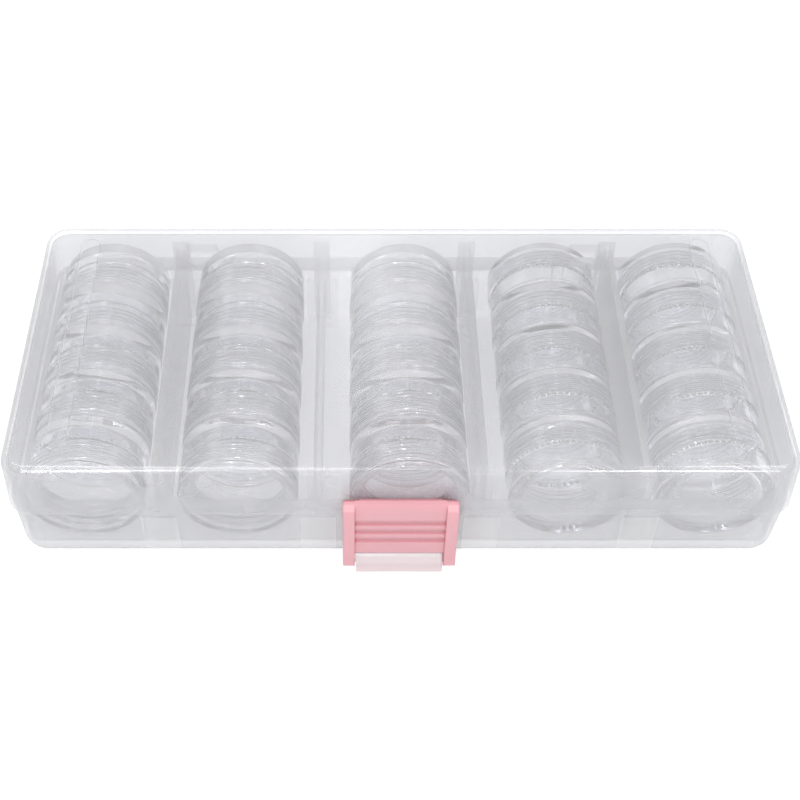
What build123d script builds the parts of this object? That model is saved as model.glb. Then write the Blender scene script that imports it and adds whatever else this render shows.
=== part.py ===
from build123d import *
import os
from math import radians, tan

# A shallow hinged case for beads, holding 25 clear screw jars that lie on their sides.
# Millimetres. The case rests on Z = 0, +X runs to its right and +Y to its hinged back.

# Jars and their screw caps
jar_diameter = 27.2
jar_floor = 1.6
jar_shoulder = 6.3
shoulder_width = 1.8
neck_wall = 0.9
neck_height = 5.9
jar_edge = 0.7
cap_overhang = 0.2
cap_top = 1.3
cap_edge = 0.5
cap_head_gap = 0.45

# Room between jar and cap for the shoulder's teeth and for the threads, which are too fine to model here
tooth_room = 0.7
thread_room = 0.75

# Room that the case leaves the jars: five columns of them, in bays between the dividers
jar_rows = 5
jar_spacing = 0.3
jar_lift = 0.3
lid_clearance = 1.2
column_back_gap = 1.0
column_front_gap = 2.15
end_bay_room = 3.1
second_bay_room = 6.9
middle_bay_room = 8.1
side_gap = 0.5
second_column_shift = -0.3
third_column_shift = 2.4
fourth_column_shift = 1.8
columns_with_cap_in_front = (1, 2, 3)

# Case walls and corners, and the height at which the lid meets the base
corner_radius = 6.0
rim_height = 16.9

# Lid
lid_wall = 1.2
lid_top = 1.4
lid_draft = 2.0
top_fillet = 2.4
lid_inner_fillet = 1.2

# Long rounded beads raised on the lid near its two ends
bead_width = 4.8
bead_end_gap = 6.0
bead_rise = 0.5
bead_edge = 0.45
bead_from_end = 12.4

# Base
rim_gap = 0.3
base_inset = 0.3
base_corner = 7.2
base_draft = 3.0
base_fillet = 3.0
base_floor = 1.5
inner_draft = 1.0
inner_fillet = 1.5
cavity_corner = 2.2
lip_wall = 1.1
lip_gap = 0.3
lip_rise = 2.5
back_lip_rise = 2.6
back_lip_end = 9.0

# How far a cut runs past the face it leaves by, and the hook into the wall it grows from
cut_overrun = 1.0
join_depth = 0.2

# Dividers and the ribs that hold their ends
divider_thickness = 1.5
divider_top_gap = 1.8
divider_corner = 0.9
flange_width = 4.2
flange_thickness = 1.0
divider_gap = 0.3
rib_width = 1.7
rib_corner = 1.6
rib_depth = 0.8
rib_top_gap = 1.2
rib_root = 0.6

# Hinge at the back: two lid knuckles on stub pins, each between two ears of the base
hinge_x = 50.0
knuckle_radius = 2.2
knuckle_gap = 0.4
knuckle_width = 8.0
ear_width = 3.0
hinge_gap = 0.3
hinge_pin_diameter = 2.0
hinge_pin_gap = 0.1
web_gap = 0.5
web_reach = 1.8
web_slope = 0.8
web_climb = 8.6
ear_root = 1.0

# Latch in front, turning on stub pins of the base's lug
lug_width = 19.8
lug_reach = 4.2
lug_height = 5.6
lug_edge = 2.4
lug_foot = 0.3
lug_root = 2.4
latch_pivot_reach = 1.9
latch_pin_diameter = 2.0
latch_pin_gap = 0.1
latch_side_gap = 0.3
cheek_width = 2.7
cheek_radius = 2.0
cheek_foot_gap = 0.9
cheek_reach = 3.9
cheek_knee = 3.0
cheek_foot_inset = 0.1
cheek_front_corner = 1.2
cheek_back_corner = 1.4
latch_edge = 0.5
latch_back_gap = 0.35
panel_inner_reach = 1.35
panel_outer_reach = 2.4
panel_gap = 0.7
panel_rib_rise = 0.7
lower_band = 4.1
panel_groove = 1.7
thin_rib = 1.5
catch_rise = 4.3
catch_height = 2.0
catch_reach = 1.0
catch_edge = 0.6
catch_width = 18.0
hook_gap = 0.35
hook_height = 1.5
hook_clear = 0.3
hook_cover = 1.15


def drop(angle, height):
    """How far a drafted wall leans in over a height."""
    return tan(radians(angle)) * height


# The jar and cap, each measured from the jar's floor, and how they lie in the case
neck_radius = jar_diameter / 2 - shoulder_width
neck_top = jar_shoulder + neck_height
cap_diameter = jar_diameter + 2 * cap_overhang
cap_bottom = jar_shoulder + tooth_room
cap_length = neck_top + cap_head_gap + cap_top - cap_bottom
jar_length = cap_bottom + cap_length
jar_pitch = jar_length + jar_spacing
jar_height = base_floor + jar_lift + cap_diameter / 2

# Heights of the case
ledge_height = rim_height - rim_gap
lip_top = ledge_height + lip_rise
back_lip_top = lip_top + back_lip_rise
lid_inner_top = base_floor + jar_lift + cap_diameter + lid_clearance
case_height = lid_inner_top + lid_top
catch_top = rim_height + catch_rise

# The divider bays and the walls around them, from the inside of the case outwards
middle_bay = cap_diameter + middle_bay_room
second_bay = cap_diameter + second_bay_room
end_bay = cap_diameter + end_bay_room
inner_divider_x = (middle_bay + divider_thickness) / 2
outer_divider_x = inner_divider_x + divider_thickness + second_bay
floor_width = 2 * outer_divider_x + divider_thickness + 2 * end_bay
floor_depth = column_back_gap + jar_rows * jar_pitch - jar_spacing + column_front_gap
cavity_lean = drop(inner_draft, back_lip_top - base_floor)
cavity_width = floor_width + 2 * cavity_lean
cavity_depth = floor_depth + 2 * cavity_lean
lip_width = cavity_width + 2 * lip_wall
lip_depth = cavity_depth + 2 * lip_wall
lid_inner_width = lip_width + 2 * lip_gap
lid_inner_depth = lip_depth + 2 * lip_gap
case_width = lid_inner_width + 2 * lid_wall
case_depth = lid_inner_depth + 2 * lid_wall
front_face = -case_depth / 2
back_face = case_depth / 2
hinge_y = back_face + knuckle_radius + knuckle_gap
pivot_y = front_face - latch_pivot_reach
latch_pivot_height = cheek_radius + cheek_foot_gap
wall_middle = lid_wall / 2

os.makedirs("parts", exist_ok=True)


def save(piece, name):
    piece.part.label = name
    export_step(piece.part, f"parts/{name}.step")


# The base: a drafted tray with a thin lip that the lid closes over
divider_places = (-outer_divider_x, -inner_divider_x, inner_divider_x, outer_divider_x)
slot_width = flange_width + 2 * divider_gap
rib_height = ledge_height - rib_top_gap - base_floor
rib_face = floor_depth / 2 - rib_depth
boss_places = [(x, base_floor) for x in divider_places]
latch_half = lug_width / 2 + latch_side_gap + cheek_width
ear_offset = knuckle_width / 2 + hinge_gap + ear_width / 2
ear_top = rim_height - web_gap

with BuildPart() as case_base:
    with BuildSketch(Plane.XY.offset(ledge_height)):
        RectangleRounded(case_width - 2 * base_inset, case_depth - 2 * base_inset, base_corner)
    extrude(amount=-ledge_height, taper=base_draft)
    fillet(case_base.faces().sort_by(Axis.Z)[0].edges(), base_fillet)
    with BuildSketch(Plane.XY.offset(ledge_height)):
        RectangleRounded(lip_width, lip_depth, corner_radius - lid_wall - lip_gap)
    extrude(amount=back_lip_top - ledge_height, taper=lid_draft)
    with BuildSketch(Plane.XY.offset(back_lip_top)):
        RectangleRounded(cavity_width, cavity_depth, cavity_corner)
    extrude(amount=base_floor - back_lip_top, taper=inner_draft, mode=Mode.SUBTRACT)
    inner_floor = case_base.faces().filter_by(Axis.Z).sort_by(Axis.Z)[1]
    fillet(inner_floor.edges(), inner_fillet)
    # only the straight back stretch of the lip stands higher
    with BuildSketch(Plane.XY.offset(lip_top)):
        Rectangle(case_width, case_depth)
        with Locations((0, lip_depth / 2)):
            Rectangle(cavity_width - 2 * back_lip_end, 4 * lip_wall, mode=Mode.SUBTRACT)
    extrude(amount=back_lip_rise + cut_overrun, mode=Mode.SUBTRACT)
    # a round-shouldered boss with a slot, as a pair of ribs, holds each end of each divider
    for side in (-1, 1):
        with BuildSketch(Plane.XZ.offset(side * rib_face)) as bosses:
            with Locations(*boss_places):
                Rectangle(slot_width + 2 * rib_width, rib_height, align=(Align.CENTER, Align.MIN))
            fillet(bosses.vertices().group_by(Axis.Y)[-1], rib_corner)
            with Locations(*boss_places):
                Rectangle(
                    slot_width, rib_height, align=(Align.CENTER, Align.MIN), mode=Mode.SUBTRACT
                )
        extrude(amount=side * (rib_depth + rib_root))
    # hinge ears
    for x in (-hinge_x, hinge_x):
        for side in (-1, 1):
            with BuildSketch(Plane.YZ.offset(x + side * ear_offset - ear_width / 2)):
                with BuildLine():
                    Polyline(
                        (back_face - ear_root, ear_top),
                        (hinge_y, ear_top),
                        (hinge_y + web_reach, ear_top - web_slope),
                        (back_face - ear_root, rim_height - web_climb),
                        close=True,
                    )
                make_face()
                with Locations((hinge_y, rim_height)):
                    Circle(knuckle_radius)
                    Circle(hinge_pin_diameter / 2 + hinge_pin_gap, mode=Mode.SUBTRACT)
            extrude(amount=ear_width)
    # lug with the latch's stub pins
    with BuildSketch(Plane.YZ.offset(-lug_width / 2)):
        with Locations((front_face - lug_reach, lug_foot)):
            Rectangle(lug_reach + lug_root, lug_height - lug_foot, align=(Align.MIN, Align.MIN))
    extrude(amount=lug_width)
    lug_edges = case_base.edges().filter_by(Axis.X).group_by(Axis.Y)[0].sort_by(Axis.Z)
    fillet(lug_edges[-1], lug_edge)
    with BuildSketch(Plane.YZ.offset(-latch_half)):
        with Locations((pivot_y, latch_pivot_height)):
            Circle(latch_pin_diameter / 2)
    extrude(amount=2 * latch_half)
save(case_base, "case_base")

# The lid: a drafted shell with its catch in front and its knuckles behind
bead_length = case_depth - 2 * bead_end_gap
knuckle_bottom = rim_height + web_gap
pin_half = knuckle_width / 2 + hinge_gap + ear_width

with BuildPart() as case_lid:
    with BuildSketch(Plane.XY.offset(rim_height)):
        RectangleRounded(case_width, case_depth, corner_radius)
    extrude(amount=case_height - rim_height, taper=lid_draft)
    fillet(case_lid.faces().sort_by(Axis.Z)[-1].edges(), top_fillet)
    with BuildSketch(Plane.XY.offset(rim_height)):
        RectangleRounded(lid_inner_width, lid_inner_depth, corner_radius - lid_wall)
    extrude(amount=lid_inner_top - rim_height, taper=lid_draft, mode=Mode.SUBTRACT)
    ceiling = case_lid.faces().filter_by(Axis.Z).sort_by(Axis.Z)[1]
    fillet(ceiling.edges(), lid_inner_fillet)
    # long rounded beads near the two ends
    with BuildSketch(Plane.XY.offset(case_height)):
        with Locations(
            (bead_from_end - case_width / 2, 0), (case_width / 2 - bead_from_end, 0)
        ):
            SlotOverall(bead_length, bead_width, rotation=90)
    extrude(amount=bead_rise)
    bead_tops = case_lid.faces().sort_by(Axis.Z)[-2:]
    fillet(bead_tops.edges(), bead_edge)
    # catch that the latch hooks over
    with BuildSketch(Plane.YZ.offset(-catch_width / 2)):
        with BuildLine():
            Polyline(
                (front_face + wall_middle, catch_top),
                (front_face - catch_reach, catch_top),
                (front_face - catch_reach, catch_top - catch_edge),
                (front_face + wall_middle, catch_top - catch_height),
                close=True,
            )
        make_face()
    extrude(amount=catch_width)
    # hinge knuckles with their stub pins
    for x in (-hinge_x, hinge_x):
        with BuildSketch(Plane.YZ.offset(x - knuckle_width / 2)):
            with BuildLine():
                Polyline(
                    (back_face - wall_middle, knuckle_bottom),
                    (hinge_y, knuckle_bottom),
                    (hinge_y + web_reach, knuckle_bottom + web_slope),
                    (back_face - wall_middle, rim_height + web_climb),
                    close=True,
                )
            make_face()
            with Locations((hinge_y, rim_height)):
                Circle(knuckle_radius)
        extrude(amount=knuckle_width)
        with BuildSketch(Plane.YZ.offset(x - pin_half)):
            with Locations((hinge_y, rim_height)):
                Circle(hinge_pin_diameter / 2)
        extrude(amount=2 * pin_half)
save(case_lid, "case_lid")

# The latch: two cheeks on the lug's pins, a ribbed panel between them and a hook inside its top
cheek_start = lug_width / 2 + latch_side_gap
panel_bottom = lug_height + panel_gap
panel_inner = front_face - panel_inner_reach
panel_outer = front_face - panel_outer_reach
cheek_back = front_face - latch_back_gap
cheek_front = front_face - cheek_reach
hook_bottom = catch_top + hook_gap
latch_top = hook_bottom + hook_height + hook_cover
hook_face = front_face + drop(lid_draft, hook_bottom - rim_height) - hook_clear
first_groove = panel_bottom + lower_band
broad_bottom = first_groove + 3 * panel_groove + 2 * thin_rib

with BuildPart() as case_latch:
    for start in (-latch_half, cheek_start):
        with BuildSketch(Plane.YZ.offset(start)):
            with BuildLine():
                Polyline(
                    (cheek_back, latch_top - cheek_back_corner),
                    (cheek_back, latch_pivot_height),
                    (pivot_y - cheek_radius + cheek_foot_inset, latch_pivot_height),
                    (cheek_front, latch_pivot_height + cheek_knee),
                    (cheek_front, latch_top - cheek_front_corner),
                    (cheek_front + cheek_front_corner, latch_top),
                    (cheek_back - cheek_back_corner, latch_top),
                    close=True,
                )
            make_face()
            with Locations((pivot_y, latch_pivot_height)):
                Circle(cheek_radius)
                Circle(latch_pin_diameter / 2 + latch_pin_gap, mode=Mode.SUBTRACT)
        extrude(amount=cheek_width)
    side_faces = case_latch.faces().filter_by(Axis.X).group_by(Axis.X)
    for face in (side_faces[0], side_faces[-1]):
        fillet(face.edges().filter_by(GeomType.LINE), latch_edge)
    with BuildSketch(Plane.YZ.offset(-cheek_start)):
        with Locations((panel_inner, panel_bottom)):
            Rectangle(
                panel_inner - panel_outer, latch_top - panel_bottom, align=(Align.MAX, Align.MIN)
            )
        with Locations((panel_outer, panel_bottom)):
            Rectangle(panel_rib_rise, lower_band, align=(Align.MAX, Align.MIN))
        for i in (0, 1):
            rib_bottom = first_groove + panel_groove + i * (thin_rib + panel_groove)
            with Locations((panel_outer, rib_bottom)):
                Rectangle(panel_rib_rise, thin_rib, align=(Align.MAX, Align.MIN))
        with Locations((panel_outer, broad_bottom)):
            Rectangle(panel_rib_rise, latch_top - broad_bottom, align=(Align.MAX, Align.MIN))
    extrude(amount=2 * cheek_start)
    with BuildSketch(Plane.YZ.offset(-catch_width / 2 - latch_side_gap)):
        with Locations((hook_face, hook_bottom)):
            Rectangle(
                hook_face - panel_inner + join_depth, hook_height, align=(Align.MAX, Align.MIN)
            )
    extrude(amount=catch_width + 2 * latch_side_gap)
save(case_latch, "case_latch")

# Dividers: a plate with a flange at each end that slides down between a pair of ribs
divider_bottom = base_floor + divider_gap
divider_height = lid_inner_top - divider_top_gap - divider_bottom
divider_reach = floor_depth / 2 - divider_gap

for number, x in enumerate(divider_places, start=1):
    with BuildPart() as divider:
        with Locations((x, 0, divider_bottom)):
            Box(
                divider_thickness, 2 * divider_reach, divider_height,
                align=(Align.CENTER, Align.CENTER, Align.MIN),
            )
        for side in (-1, 1):
            with Locations((x, side * (divider_reach - flange_thickness / 2), divider_bottom)):
                Box(
                    flange_width, flange_thickness, divider_height,
                    align=(Align.CENTER, Align.CENTER, Align.MIN),
                )
        low_ends = divider.edges().filter_by(Axis.X).group_by(Axis.Z)[0].sort_by(Axis.Y)
        chamfer((low_ends[0], low_ends[-1]), divider_corner)
    save(divider, f"divider_{number}")

# One jar, standing on its floor
with BuildPart() as jar_shape:
    Cylinder(jar_diameter / 2, jar_shoulder, align=(Align.CENTER, Align.CENTER, Align.MIN))
    Cylinder(neck_radius, neck_top, align=(Align.CENTER, Align.CENTER, Align.MIN))
    fillet(jar_shape.faces().sort_by(Axis.Z)[0].edges(), jar_edge)
    with Locations((0, 0, jar_floor)):
        Cylinder(
            neck_radius - neck_wall, neck_top,
            align=(Align.CENTER, Align.CENTER, Align.MIN), mode=Mode.SUBTRACT,
        )

# One cap, in its place above the jar's shoulder
with BuildPart() as cap_shape:
    with Locations((0, 0, cap_bottom)):
        Cylinder(cap_diameter / 2, cap_length, align=(Align.CENTER, Align.CENTER, Align.MIN))
    fillet(cap_shape.faces().sort_by(Axis.Z)[-1].edges(), cap_edge)
    with Locations((0, 0, cap_bottom)):
        Cylinder(
            neck_radius + thread_room, cap_length - cap_top,
            align=(Align.CENTER, Align.CENTER, Align.MIN), mode=Mode.SUBTRACT,
        )

# Five columns of five jars on their sides, in line from back to front
wall_at_jar = cavity_width / 2 - drop(inner_draft, back_lip_top - jar_height)
end_column_x = wall_at_jar - side_gap - cap_diameter / 2
bay_middle = (inner_divider_x + outer_divider_x) / 2
column_places = (
    -end_column_x,
    second_column_shift - bay_middle,
    third_column_shift,
    bay_middle + fourth_column_shift,
    end_column_x,
)
column_back = floor_depth / 2 - column_back_gap

for column, x in enumerate(column_places, start=1):
    cap_in_front = column in columns_with_cap_in_front
    for row in range(1, jar_rows + 1):
        jar_back = column_back - (row - 1) * jar_pitch
        if cap_in_front:
            place = Location((x, jar_back, jar_height), (90, 0, 0))
        else:
            place = Location((x, jar_back - jar_length, jar_height), (-90, 0, 0))
        with BuildPart() as jar:
            with Locations(place):
                add(jar_shape.part)
        save(jar, f"jar_{column}_{row}")
        with BuildPart() as jar_cap:
            with Locations(place):
                add(cap_shape.part)
        save(jar_cap, f"jar_cap_{column}_{row}")

print("jar length with its cap", round(jar_length, 3), "column centres", column_places)
print("column runs from", round(column_back, 3), "by", round(jar_pitch, 3))
print("case outside", round(case_width, 3), round(case_depth, 3), round(case_height, 3))
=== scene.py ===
import math

import bmesh
import bpy
from mathutils import Matrix, Vector


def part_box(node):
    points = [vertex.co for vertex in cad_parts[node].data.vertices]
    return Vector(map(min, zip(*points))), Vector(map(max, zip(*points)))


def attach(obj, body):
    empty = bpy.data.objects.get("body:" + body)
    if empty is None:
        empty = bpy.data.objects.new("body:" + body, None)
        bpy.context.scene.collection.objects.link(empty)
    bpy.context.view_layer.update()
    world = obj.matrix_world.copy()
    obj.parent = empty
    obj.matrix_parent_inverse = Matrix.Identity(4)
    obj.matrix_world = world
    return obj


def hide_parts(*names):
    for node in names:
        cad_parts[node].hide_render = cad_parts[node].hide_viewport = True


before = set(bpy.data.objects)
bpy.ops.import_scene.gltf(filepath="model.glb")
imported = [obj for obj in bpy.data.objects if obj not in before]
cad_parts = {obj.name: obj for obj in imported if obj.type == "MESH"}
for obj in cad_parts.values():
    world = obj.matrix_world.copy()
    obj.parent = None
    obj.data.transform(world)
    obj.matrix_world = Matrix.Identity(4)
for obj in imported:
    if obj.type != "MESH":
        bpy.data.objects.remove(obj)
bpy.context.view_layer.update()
scene = bpy.context.scene
print("frame loaded,", len(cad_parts), "nodes")

mm = 0.001


# sRGB hex to the linear colour that shaders take
def hexColour(code):
    channels = [int(code[i:i + 2], 16) / 255 for i in (0, 2, 4)]
    linear = [c / 12.92 if c <= 0.04045 else ((c + 0.055) / 1.055) ** 2.4 for c in channels]
    return (*linear, 1.0)


# one node with its settings; an input is given a value or another node's output
def addNode(tree, kind, inputs=None, **settings):
    node = tree.nodes.new("ShaderNode" + kind)
    for name, value in settings.items():
        setattr(node, name, value)
    for socket, value in (inputs or {}).items():
        if isinstance(value, bpy.types.NodeSocket):
            tree.links.new(value, node.inputs[socket])
        else:
            node.inputs[socket].default_value = value
    return node


def newMaterial(name):
    material = bpy.data.materials.new(name)
    material.use_nodes = True
    material.node_tree.nodes.clear()
    return material, material.node_tree


def giveMaterial(names, material):
    for name in names:
        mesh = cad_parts[name].data
        mesh.materials.clear()
        mesh.materials.append(material)


# 0 where a face is seen straight on and 1 where it is seen edge on; a higher power keeps it low for longer
def slantOf(tree, power):
    slant = addNode(tree, "LayerWeight", {"Blend": 0.5})
    return addNode(tree, "Math", {0: slant.outputs["Facing"], 1: power}, operation="POWER").outputs[0]


# Polypropylene, injection moulded: thin walls pass light straight on and scatter some of it, so they look
# milky, and where a wall is seen at a slant it looks milkier and greyer. Its worn mould edges catch the lamps
# as bright lines, and a fine mould grain keeps reflections soft.
polypropylene = {
    "milk": "F8F8F8",
    # painted light: the pink light of the latch, painted onto the lug
    "paintedLatchLight": "F3CDD0",
    "tint": "FAFAFB",
    "slantTint": "BCBCBF",
    "haze": 0.20,
    "slantHaze": 0.34,
    "slantPower": 2.0,
    "cloud": 14 * mm,
    "cloudDetail": 2.0,
    "cloudDepth": 0.035,
    "grain": 0.5 * mm,
    "grainDetail": 1.0,
    "grainHeight": 0.002 * mm,
    "roundedEdge": 0.35 * mm,
    "edgeSamples": 4,
    "roughness": 0.17,
    "straightGloss": 0.045,
    "slantGloss": 0.9,
    "glossPower": 5.0,
    "latchLightReach": 3.6 * mm,  # how far the painted pink latch light on the lug reaches back from the base's front
    "bossHaze": 0.12,
    "bossHalf": 4.1 * mm,  # half a boss's width
    "bossTop": 15.1 * mm,  # height of its top
    "bossDepth": 3.0 * mm,  # how far it reaches to either side of the divider's end
}


# 1 where the wall is thicker, at the bosses that hold the dividers' ends, and 0 elsewhere
def thickerAtBosses(tree, split, values):
    lowest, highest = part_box("divider_1")
    outer, end = abs(lowest.x + highest.x) / 2, highest.y
    inner = abs(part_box("divider_2")[0].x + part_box("divider_2")[1].x) / 2
    across = addNode(tree, "Math", {0: split.outputs["X"]}, operation="ABSOLUTE").outputs[0]
    ends = addNode(tree, "Math", {0: split.outputs["Y"]}, operation="ABSOLUTE").outputs[0]
    toOuter = addNode(tree, "Math", {0: across, 1: outer, 2: values["bossHalf"]}, operation="COMPARE")
    toInner = addNode(tree, "Math", {0: across, 1: inner, 2: values["bossHalf"]}, operation="COMPARE")
    either = addNode(tree, "Math", {0: toOuter.outputs[0], 1: toInner.outputs[0]}, operation="MAXIMUM")
    atEnd = addNode(tree, "Math", {0: ends, 1: end, 2: values["bossDepth"]}, operation="COMPARE")
    low = addNode(tree, "Math", {0: split.outputs["Z"], 1: values["bossTop"]}, operation="LESS_THAN")
    inBand = addNode(tree, "Math", {0: either.outputs[0], 1: atEnd.outputs[0]}, operation="MULTIPLY")
    return addNode(tree, "Math", {0: inBand.outputs[0], 1: low.outputs[0]}, operation="MULTIPLY").outputs[0]


# how much a wall scatters: its own haze, more at a slant and at the bosses, in soft uneven clouds
def hazeOf(tree, place, split, steep, values):
    cloud = addNode(
        tree, "TexNoise",
        {"Vector": place, "Scale": 1 / values["cloud"], "Detail": values["cloudDetail"]}
    )
    slanted = addNode(
        tree, "Math", {0: steep, 1: values["slantHaze"], 2: values["haze"]}, operation="MULTIPLY_ADD"
    )
    uneven = addNode(tree, "Math", {
        0: cloud.outputs["Fac"], 1: 2 * values["cloudDepth"], 2: slanted.outputs[0]
    }, operation="MULTIPLY_ADD")
    even = addNode(tree, "Math", {0: uneven.outputs[0], 1: values["cloudDepth"]}, operation="SUBTRACT")
    bosses = thickerAtBosses(tree, split, values)
    haze = addNode(
        tree, "Math", {0: bosses, 1: values["bossHaze"], 2: even.outputs[0]}, operation="MULTIPLY_ADD"
    )
    return haze.outputs[0]


# the milk's colour, with the pink light of the latch around the lug painted onto the lug
def milkAndPaintedLatchLight(tree, split, values):
    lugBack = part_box("case_base")[0].y + values["latchLightReach"]
    atLug = addNode(tree, "Math", {0: split.outputs["Y"], 1: lugBack}, operation="LESS_THAN")
    # painted light: the lug's front turns pink where the latch's pink light falls
    ramp = addNode(tree, "ValToRGB", {0: atLug.outputs[0]})
    ramp.color_ramp.elements[0].color = hexColour(values["milk"])
    ramp.color_ramp.elements[1].color = hexColour(values["paintedLatchLight"])
    return ramp.outputs[0]


# the surface's normal, with rounded edges and a fine mould grain
def mouldSkin(tree, place, values):
    grain = addNode(
        tree, "TexNoise",
        {"Vector": place, "Scale": 1 / values["grain"], "Detail": values["grainDetail"]}
    )
    rounded = addNode(tree, "Bevel", {"Radius": values["roundedEdge"]}, samples=values["edgeSamples"])
    bump = addNode(tree, "Bump", {
        "Height": grain.outputs["Fac"], "Distance": values["grainHeight"], "Normal": rounded.outputs[0]
    })
    return bump.outputs[0]


# matt scattering that sends half of the light back and half of it on through the wall
def scatterBothWays(tree, colour):
    front = addNode(tree, "BsdfDiffuse", {"Color": colour})
    through = addNode(tree, "BsdfTranslucent", {"Color": colour})
    return addNode(tree, "MixShader", {0: 0.5, 1: front.outputs[0], 2: through.outputs[0]}).outputs[0]


def mouldedPolypropylene(name, values):
    material, tree = newMaterial(name)
    place = addNode(tree, "TexCoord").outputs["Object"]
    split = addNode(tree, "SeparateXYZ", {0: place})
    steep = slantOf(tree, values["slantPower"])
    straight = addNode(tree, "BsdfTransparent", {"Color": hexColour(values["tint"])})
    long = addNode(tree, "BsdfTransparent", {"Color": hexColour(values["slantTint"])})
    clear = addNode(tree, "MixShader", {0: steep, 1: straight.outputs[0], 2: long.outputs[0]})
    scatter = scatterBothWays(tree, milkAndPaintedLatchLight(tree, split, values))
    haze = hazeOf(tree, place, split, steep, values)
    wall = addNode(tree, "MixShader", {0: haze, 1: clear.outputs[0], 2: scatter})
    gloss = addNode(tree, "Math", {
        0: slantOf(tree, values["glossPower"]), 1: values["slantGloss"], 2: values["straightGloss"]
    }, operation="MULTIPLY_ADD")
    shine = addNode(tree, "BsdfGlossy", {
        "Roughness": values["roughness"], "Normal": mouldSkin(tree, place, values)
    })
    look = addNode(tree, "MixShader", {0: gloss.outputs[0], 1: wall.outputs[0], 2: shine.outputs[0]})
    addNode(tree, "OutputMaterial", {"Surface": look.outputs[0]})
    return material


# The dividers are flat sheets, a little clearer than the case's walls
sheetPolypropylene = {
    **polypropylene,
    "haze": 0.17,
    "tint": "FEFEFE",
    "slantTint": "DCDCDF",
    "bossHaze": 0.0,
}

# Polystyrene, injection moulded and polished: clear as glass, bends light strongly and has a violet cast that
# builds up along slanted walls and where many lie behind each other. Lamps shine through it.
polystyrene = {
    "tint": "FDFDFE",
    "slantTint": "D5D7EC",
    "slantPower": 2.0,
    "ior": 1.59,
    "roughness": 0.02,
    # how much white is painted on as highlights; none on the clear jar
    "paintedHighlightShare": 0.0,
    "paintedHighlightColour": "FFFFFF",
}

# The same polystyrene, rougher, with white painted onto its teeth and thread crests as painted highlights:
# they show as white lines and dots
highlightPaintedPolystyrene = {**polystyrene, "roughness": 0.15, "paintedHighlightShare": 0.75}


def mouldedPolystyrene(name, values):
    material, tree = newMaterial(name)
    violet = addNode(tree, "ValToRGB", {0: slantOf(tree, values["slantPower"])})
    violet.color_ramp.elements[0].color = hexColour(values["tint"])
    violet.color_ramp.elements[1].color = hexColour(values["slantTint"])
    glass = addNode(tree, "BsdfPrincipled", {
        "Base Color": violet.outputs[0],
        "Roughness": values["roughness"],
        "IOR": values["ior"],
        "Transmission Weight": 1.0,
    })
    # painted highlights: white matt scattering mixed in as much as the material asks for
    paintedGlints = scatterBothWays(tree, hexColour(values["paintedHighlightColour"]))
    withPaintedHighlight = addNode(tree, "MixShader", {0: values["paintedHighlightShare"], 1: glass.outputs[0], 2: paintedGlints})
    clear = addNode(tree, "BsdfTransparent", {"Color": hexColour(values["tint"])})
    path = addNode(tree, "LightPath")
    look = addNode(
        tree, "MixShader",
        {0: path.outputs["Is Shadow Ray"], 1: withPaintedHighlight.outputs[0], 2: clear.outputs[0]}
    )
    addNode(tree, "OutputMaterial", {"Surface": look.outputs[0]})
    return material


# Polypropylene with pink pigment: not quite opaque, so its edges glow and its grooves stay a warm pink
pinkPolypropylene = {
    "pink": "D0ABB1",
    "glow": "FF9FAB",
    "share": 0.38,
    "ior": 1.49,
    "roundedEdge": 0.6 * mm,
    "edgeSamples": 6,
    "roughness": 0.30,
    "grain": 0.6 * mm,
    "grainDetail": 2.0,
    "grainHeight": 0.006 * mm,
}


def pigmentedPolypropylene(name, values):
    material, tree = newMaterial(name)
    place = addNode(tree, "TexCoord").outputs["Object"]
    body = addNode(tree, "BsdfPrincipled", {
        "Base Color": hexColour(values["pink"]),
        "Roughness": values["roughness"],
        "IOR": values["ior"],
        "Normal": mouldSkin(tree, place, values),
    })
    through = addNode(tree, "BsdfTranslucent", {"Color": hexColour(values["glow"])})
    look = addNode(tree, "MixShader", {0: values["share"], 1: body.outputs[0], 2: through.outputs[0]})
    addNode(tree, "OutputMaterial", {"Surface": look.outputs[0]})
    return material


milky = mouldedPolypropylene("milkyPolypropylene", polypropylene)
sheet = mouldedPolypropylene("sheetPolypropylene", sheetPolypropylene)
clearJar = mouldedPolystyrene("clearPolystyrene", polystyrene)
# the jars' teeth and thread crests get painted highlights
highlightPaintedEdge = mouldedPolystyrene("polystyreneWithPaintedHighlights", highlightPaintedPolystyrene)
giveMaterial(["case_base", "case_lid"], milky)
giveMaterial([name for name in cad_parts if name.startswith("divider_")], sheet)
giveMaterial([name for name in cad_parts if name.startswith("jar_")], clearJar)
giveMaterial(["case_latch"], pigmentedPolypropylene("pinkPolypropylene", pinkPolypropylene))
print("materials given")

# The thread that jar and cap share, as plain ridges
thread = {
    "pitch": 1.2 * mm,
    "rise": 0.45 * mm,
    "root": 0.5 * mm,
    "crest": 0.2 * mm,
}

# One screw jar, its heights measured from its floor; small teeth stand on its shoulder
jarShape = {
    "floor": 1.6 * mm,
    "shoulder": 6.3 * mm,
    "shoulderWidth": 1.8 * mm,
    "neckWall": 0.9 * mm,
    "edge": 0.7 * mm,
    "insideEdge": 1.4 * mm,
    "ridges": 4,
    "firstRidge": 7.9 * mm,
    "teeth": 60,
    "toothRise": 0.55 * mm,
    "toothInset": 0.15 * mm,
    "toothRamp": 0.05 * mm,
}

# One screw cap, its heights measured from its open edge
capShape = {
    "top": 1.3 * mm,
    "skirt": 1.25 * mm,
    "edge": 0.5 * mm,
    "insideEdge": 0.5 * mm,
    "ridges": 3,
    "firstRidge": 1.5 * mm,
}
columns, rows = 5, 5
segmentsPerTooth = 3
segments = segmentsPerTooth * jarShape["teeth"]
sharpFrom = 32  # degrees between two faces from which their edge stays sharp
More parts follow.
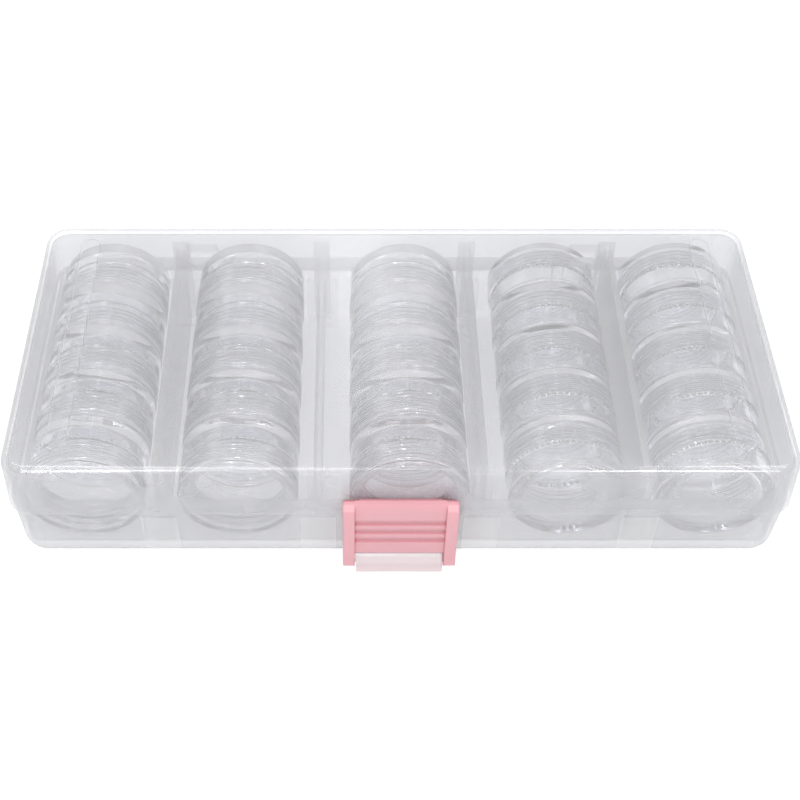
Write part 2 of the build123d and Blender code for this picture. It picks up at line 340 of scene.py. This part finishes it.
# the clear jar's material, and the one with painted highlights for teeth and crests
turnedMaterials = (clearJar, highlightPaintedEdge)
highlightPaintedIndex = turnedMaterials.index(highlightPaintedEdge)

# How near a corner lies to another, to a plane or to a crest when it counts as the same or as on it
sameCorner, onPlane, onCrest = 0.001 * mm, 0.01 * mm, 0.02 * mm


# a quarter round in a turned outline, from one angle to another in degrees
def roundCorner(middle, radius, start, end, steps=5):
    turns = [math.radians(start + (end - start) * i / steps) for i in range(steps + 1)]
    return [(middle[0] + radius * math.cos(t), middle[1] + radius * math.sin(t)) for t in turns]


# one thread ridge in a turned outline; side is 1 outwards or -1 inwards, way is 1 upwards or -1 downwards
def threadRidge(radius, height, side, way):
    crest = radius + side * thread["rise"]
    return [
        (radius, height - way * thread["root"] / 2),
        (crest, height - way * thread["crest"] / 2),
        (crest, height + way * thread["crest"] / 2),
        (radius, height + way * thread["root"] / 2),
    ]


def turnOutline(outline):
    shape = bmesh.new()
    corners = [shape.verts.new((radius, 0, height)) for radius, height in outline]
    lines = [shape.edges.new(pair) for pair in zip(corners, corners[1:])]
    bmesh.ops.spin(
        shape, geom=corners + lines, axis=(0, 0, 1), cent=(0, 0, 0), angle=2 * math.pi, steps=segments,
        use_merge=True,
    )
    bmesh.ops.remove_doubles(shape, verts=shape.verts, dist=sameCorner)
    bmesh.ops.recalc_face_normals(shape, faces=shape.faces)
    return shape


# how far a corner of a turned shape is from its axis
def reachOf(corner):
    return math.hypot(corner.co.x, corner.co.y)


# gives the thread's crests between two heights the material with painted highlights
def paintHighlightsOnCrests(shape, crest, lowest, highest):
    for face in shape.faces:
        offCrest = [abs(reachOf(corner) - crest) for corner in face.verts]
        heights = [corner.co.z for corner in face.verts]
        if max(offCrest) < onCrest and lowest < min(heights) and max(heights) < highest:
            face.material_index = highlightPaintedIndex


# raises every third line of a jar's flat shoulder to the top of a tooth, and paints highlights on the tooth's
# faces
def raiseTeeth(shape, values, start, end):
    for corner in shape.verts:
        onShoulder = abs(corner.co.z - values["shoulder"]) < onPlane
        onTooth = start + onPlane < reachOf(corner) < end - onPlane
        line = round(math.atan2(corner.co.y, corner.co.x) / (2 * math.pi) * segments)
        if onShoulder and onTooth and line % segmentsPerTooth == 1:
            corner.co.z += values["toothRise"]
            for face in corner.link_faces:
                face.material_index = highlightPaintedIndex


def turnJar(values, radius, length):
    neck = radius - values["shoulderWidth"]
    bore = neck - values["neckWall"]
    shoulder, floor, edge, inside = values["shoulder"], values["floor"], values["edge"], values["insideEdge"]
    crest = neck + thread["rise"]
    toothEnd = radius - values["toothInset"]
    outline = [(0, 0)] + roundCorner((radius - edge, edge), edge, -90, 0)
    outline += [(radius, shoulder), (toothEnd, shoulder), (toothEnd - values["toothRamp"], shoulder)]
    outline += [(crest + values["toothRamp"], shoulder), (crest, shoulder), (neck, shoulder)]
    for i in range(values["ridges"]):
        outline += threadRidge(neck, values["firstRidge"] + i * thread["pitch"], 1, 1)
    outline += [(neck, length), (bore, length), (bore, floor + inside)]
    outline += roundCorner((bore - inside, floor + inside), inside, 0, -90)[1:] + [(0, floor)]
    shape = turnOutline(outline)
    raiseTeeth(shape, values, crest, toothEnd)
    paintHighlightsOnCrests(shape, crest, shoulder + values["toothRise"], length)
    return shape


def turnCap(values, radius, length):
    bore = radius - values["skirt"]
    ceiling = length - values["top"]
    edge, inside = values["edge"], values["insideEdge"]
    outline = [(0, ceiling)] + roundCorner((bore - inside, ceiling - inside), inside, 90, 0)
    for i in reversed(range(values["ridges"])):
        outline += threadRidge(bore, values["firstRidge"] + i * thread["pitch"], -1, -1)
    outline += [(bore, 0), (radius, 0)]
    outline += roundCorner((radius - edge, length - edge), edge, 0, 90) + [(0, length)]
    shape = turnOutline(outline)
    paintHighlightsOnCrests(shape, bore - thread["rise"], 0, ceiling)
    return shape


# lays a copy of a turned shape on its side, where its CAD node is
def layTurned(shape, name, axisToFront, body):
    lowest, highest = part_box(name)
    piece = shape.copy()
    quarter = math.pi / 2 if axisToFront else -math.pi / 2
    bmesh.ops.rotate(piece, cent=(0, 0, 0), matrix=Matrix.Rotation(quarter, 3, "X"), verts=piece.verts)
    start = (
        (lowest.x + highest.x) / 2, highest.y if axisToFront else lowest.y, (lowest.z + highest.z) / 2
    )
    bmesh.ops.translate(piece, vec=start, verts=piece.verts)
    mesh = bpy.data.meshes.new(name + "_look")
    piece.to_mesh(mesh)
    piece.free()
    mesh.shade_smooth()
    mesh.set_sharp_from_angle(angle=math.radians(sharpFrom))
    for material in turnedMaterials:
        mesh.materials.append(material)
    look = bpy.data.objects.new(name + "_look", mesh)
    scene.collection.objects.link(look)
    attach(look, body)
    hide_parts(name)


def halfWidthAndLength(name):
    lowest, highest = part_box(name)
    return (highest.x - lowest.x) / 2, highest.y - lowest.y


jar = turnJar(jarShape, *halfWidthAndLength("jar_1_1"))
cap = turnCap(capShape, *halfWidthAndLength("jar_cap_1_1"))
for column in range(1, columns + 1):
    for row in range(1, rows + 1):
        jarName, capName = f"jar_{column}_{row}", f"jar_cap_{column}_{row}"
        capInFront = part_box(capName)[0].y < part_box(jarName)[0].y
        layTurned(jar, jarName, capInFront, "base")
        layTurned(cap, capName, capInFront, f"cap_{column}_{row}")
print("jars turned,", len(jar.faces), "faces each, caps", len(cap.faces))
jar.free()
cap.free()

# Studio: a white table that keeps a faint shadow, and an even white surround
studio = {
    "tableSize": 3.0,
    "tableDrop": 0.2 * mm,
    "table": "E6E6E6",
    "tableSeen": "AAAAAA",
    "tableGlow": 0.72,
    "surround": "F2F4F7",
    "surroundStrength": 0.96,
    "surroundSeen": "FFFFFF",
}


# 1 for rays that show a thing, straight, mirrored or through a clear wall, and 0 for rays that light another
def rayShows(tree):
    path = addNode(tree, "LightPath").outputs
    mirrored = addNode(tree, "Math", {0: path["Is Camera Ray"], 1: path["Is Glossy Ray"]}, operation="ADD")
    shows = addNode(tree, "Math", {
        0: mirrored.outputs[0], 1: path["Is Transmission Ray"]
    }, operation="ADD", use_clamp=True)
    return shows.outputs[0]


def buildTable(values):
    shape = bmesh.new()
    bmesh.ops.create_grid(shape, x_segments=1, y_segments=1, size=values["tableSize"])
    bmesh.ops.translate(shape, vec=(0, 0, -values["tableDrop"]), verts=shape.verts)
    mesh = bpy.data.meshes.new("table")
    shape.to_mesh(mesh)
    shape.free()
    table = bpy.data.objects.new("table", mesh)
    scene.collection.objects.link(table)
    material, tree = newMaterial("whiteTable")
    paint = addNode(tree, "BsdfDiffuse", {"Color": hexColour(values["table"])})
    glow = addNode(tree, "Emission", {"Strength": values["tableGlow"]})
    shaded = addNode(tree, "BsdfDiffuse", {"Color": hexColour(values["tableSeen"])})
    white = addNode(tree, "AddShader", {0: glow.outputs[0], 1: shaded.outputs[0]})
    look = addNode(tree, "MixShader", {0: rayShows(tree), 1: paint.outputs[0], 2: white.outputs[0]})
    addNode(tree, "OutputMaterial", {"Surface": look.outputs[0]})
    mesh.materials.append(material)


def buildSurround(values):
    world = bpy.data.worlds.new("surround")
    world.use_nodes = True
    scene.world = world
    tree = world.node_tree
    tree.nodes.clear()
    light = addNode(tree, "Background", {
        "Color": hexColour(values["surround"]), "Strength": values["surroundStrength"]
    })
    white = addNode(tree, "Background", {"Color": hexColour(values["surroundSeen"]), "Strength": 1.0})
    look = addNode(tree, "MixShader", {0: rayShows(tree), 1: light.outputs[0], 2: white.outputs[0]})
    addNode(tree, "OutputWorld", {"Surface": look.outputs[0]})


# A few soft lamps: where each stands, how wide and high it is, and its power in watts
lamps = {
    "backStrip": {"place": (0.0, 0.75, 0.80), "size": (0.05, 0.20), "watts": 0.12},
    "overLeft": {"place": (-0.26, -0.15, 1.0), "size": (1.20, 0.14), "watts": 5.0},
    "overRight": {"place": (0.42, -0.10, 1.0), "size": (0.35, 0.30), "watts": 2.5},
    "backLeft": {"place": (-0.75, 0.70, 0.60), "size": (0.45, 0.35), "watts": 1.6},
    "backRight": {"place": (0.80, 0.60, 0.60), "size": (0.20, 0.30), "watts": 0.8},
    "frontLeft": {"place": (-0.29, -0.96, 0.75), "size": (0.16, 0.60), "watts": 4.5},
    "frontRight": {"place": (0.32, -0.96, 0.75), "size": (0.20, 0.25), "watts": 3.5},
    "frontLow": {"place": (0.0, -1.3, 0.15), "size": (1.2, 0.25), "watts": 1.2},
}


# one lamp, turned towards the middle of the case's foot
def buildLamp(name, values):
    lamp = bpy.data.lights.new(name, "AREA")
    lamp.shape = "RECTANGLE"
    lamp.size, lamp.size_y = values["size"]
    lamp.energy = values["watts"]
    holder = bpy.data.objects.new(name, lamp)
    holder.location = values["place"]
    holder.rotation_euler = (-Vector(values["place"])).to_track_quat("-Z", "Y").to_euler()
    scene.collection.objects.link(holder)


buildTable(studio)
buildSurround(studio)
for lampName, lampValues in lamps.items():
    buildLamp(lampName, lampValues)
print("studio built")

# Camera: found by fitting the case's outline in the photograph
camera = {
    "place": (-11.0 * mm, -227.2 * mm, 277.4 * mm),
    "down": 46.3,
    "sensor": 36.0,
    "focal": 63.54,
    "shift": (0.061, -0.105),
    "nearest": 10 * mm,
}


def buildCamera(values):
    lens = bpy.data.cameras.new("camera")
    lens.sensor_width = values["sensor"]
    lens.lens = values["focal"]
    lens.shift_x, lens.shift_y = values["shift"]
    lens.clip_start = values["nearest"]
    holder = bpy.data.objects.new("camera", lens)
    holder.location = values["place"]
    holder.rotation_euler = (math.radians(90 - values["down"]), 0, 0)
    scene.collection.objects.link(holder)
    scene.camera = holder


# How often light may turn or pass a wall: enough for a whole column of clear jars inside the case
lightPaths = {
    "max_bounces": 24,
    "transmission_bounces": 20,
    "diffuse_bounces": 12,
    "glossy_bounces": 8,
    "transparent_max_bounces": 40,
    "caustics_reflective": False,
    "caustics_refractive": False,
}

buildCamera(camera)
scene.view_settings.view_transform = "Standard"
for setting, value in lightPaths.items():
    setattr(scene.cycles, setting, value)
print("camera set")
